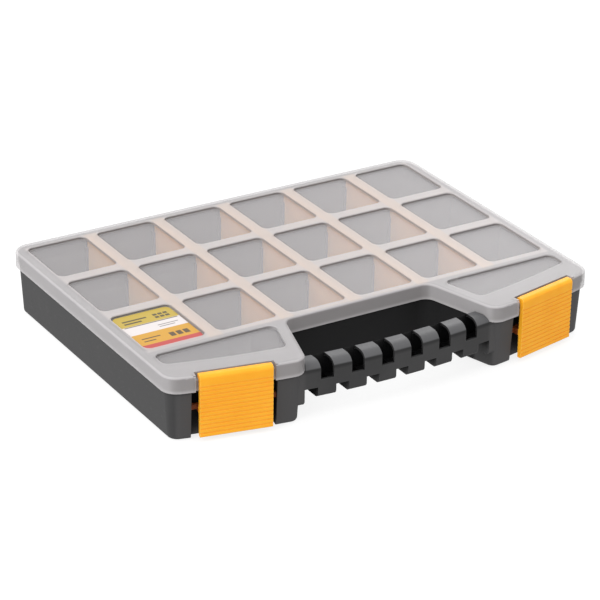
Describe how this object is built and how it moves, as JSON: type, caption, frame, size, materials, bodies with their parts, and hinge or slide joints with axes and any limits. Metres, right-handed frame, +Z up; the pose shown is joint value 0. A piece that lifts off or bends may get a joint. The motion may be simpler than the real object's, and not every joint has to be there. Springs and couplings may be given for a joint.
{
  "type": "parts organizer case",
  "caption": "Flat parts organizer case: compartment tray with removable dividers, hinged see-through lid, rocker latches and a carry handle across a notch in its bowed front.",
  "frame": {"origin": "on the flat underside, on the centre line, half way between the lid's rear edge and the crest of the bowed front", "axes": "+X to the right along the hinge, +Y from the bowed front to the hinge, +Z up"},
  "size_m": [0.33, 0.2536, 0.0474],
  "materials": {
    "tray": "fine matt moulded polypropylene",
    "lid": "milky translucent moulded polypropylene",
    "latch": "satin moulded plastic",
    "divider": "satin moulded plastic",
    "label": "printed card"
  },
  "bodies": {
    "tray": {"base_tray": "tray", "divider_r1c1": "divider", "divider_r1c2": "divider", "divider_r1c3": "divider", "divider_r1c4": "divider", "divider_r1c5": "divider", "divider_r2c1": "divider", "divider_r2c2": "divider", "divider_r2c3": "divider", "divider_r2c4": "divider", "divider_r2c5": "divider", "divider_r3c1": "divider", "divider_r3c2": "divider", "divider_r3c3": "divider", "divider_r3c4": "divider", "divider_r3c5": "divider"},
    "lid": {"lid": "lid", "label_card": "label"},
    "latch_left": {"latch_left": "latch"},
    "latch_right": {"latch_right": "latch"}
  },
  "joints": [
    {"name": "lid_hinge", "type": "hinge", "parent": "tray", "child": "lid", "pos_m": [0, 0.128, 0.0364], "axis": [-1, 0, 0], "range_deg": [0, 110]},
    {"name": "latch_left_pivot", "type": "hinge", "parent": "tray", "child": "latch_left", "pos_m": [-0.11936, -0.10613, 0.0219], "axis": [0.9787, -0.2051, 0], "range_deg": [0, 25]},
    {"name": "latch_right_pivot", "type": "hinge", "parent": "tray", "child": "latch_right", "pos_m": [0.11936, -0.10613, 0.0219], "axis": [0.9787, 0.2051, 0], "range_deg": [0, 25]}
  ]
}
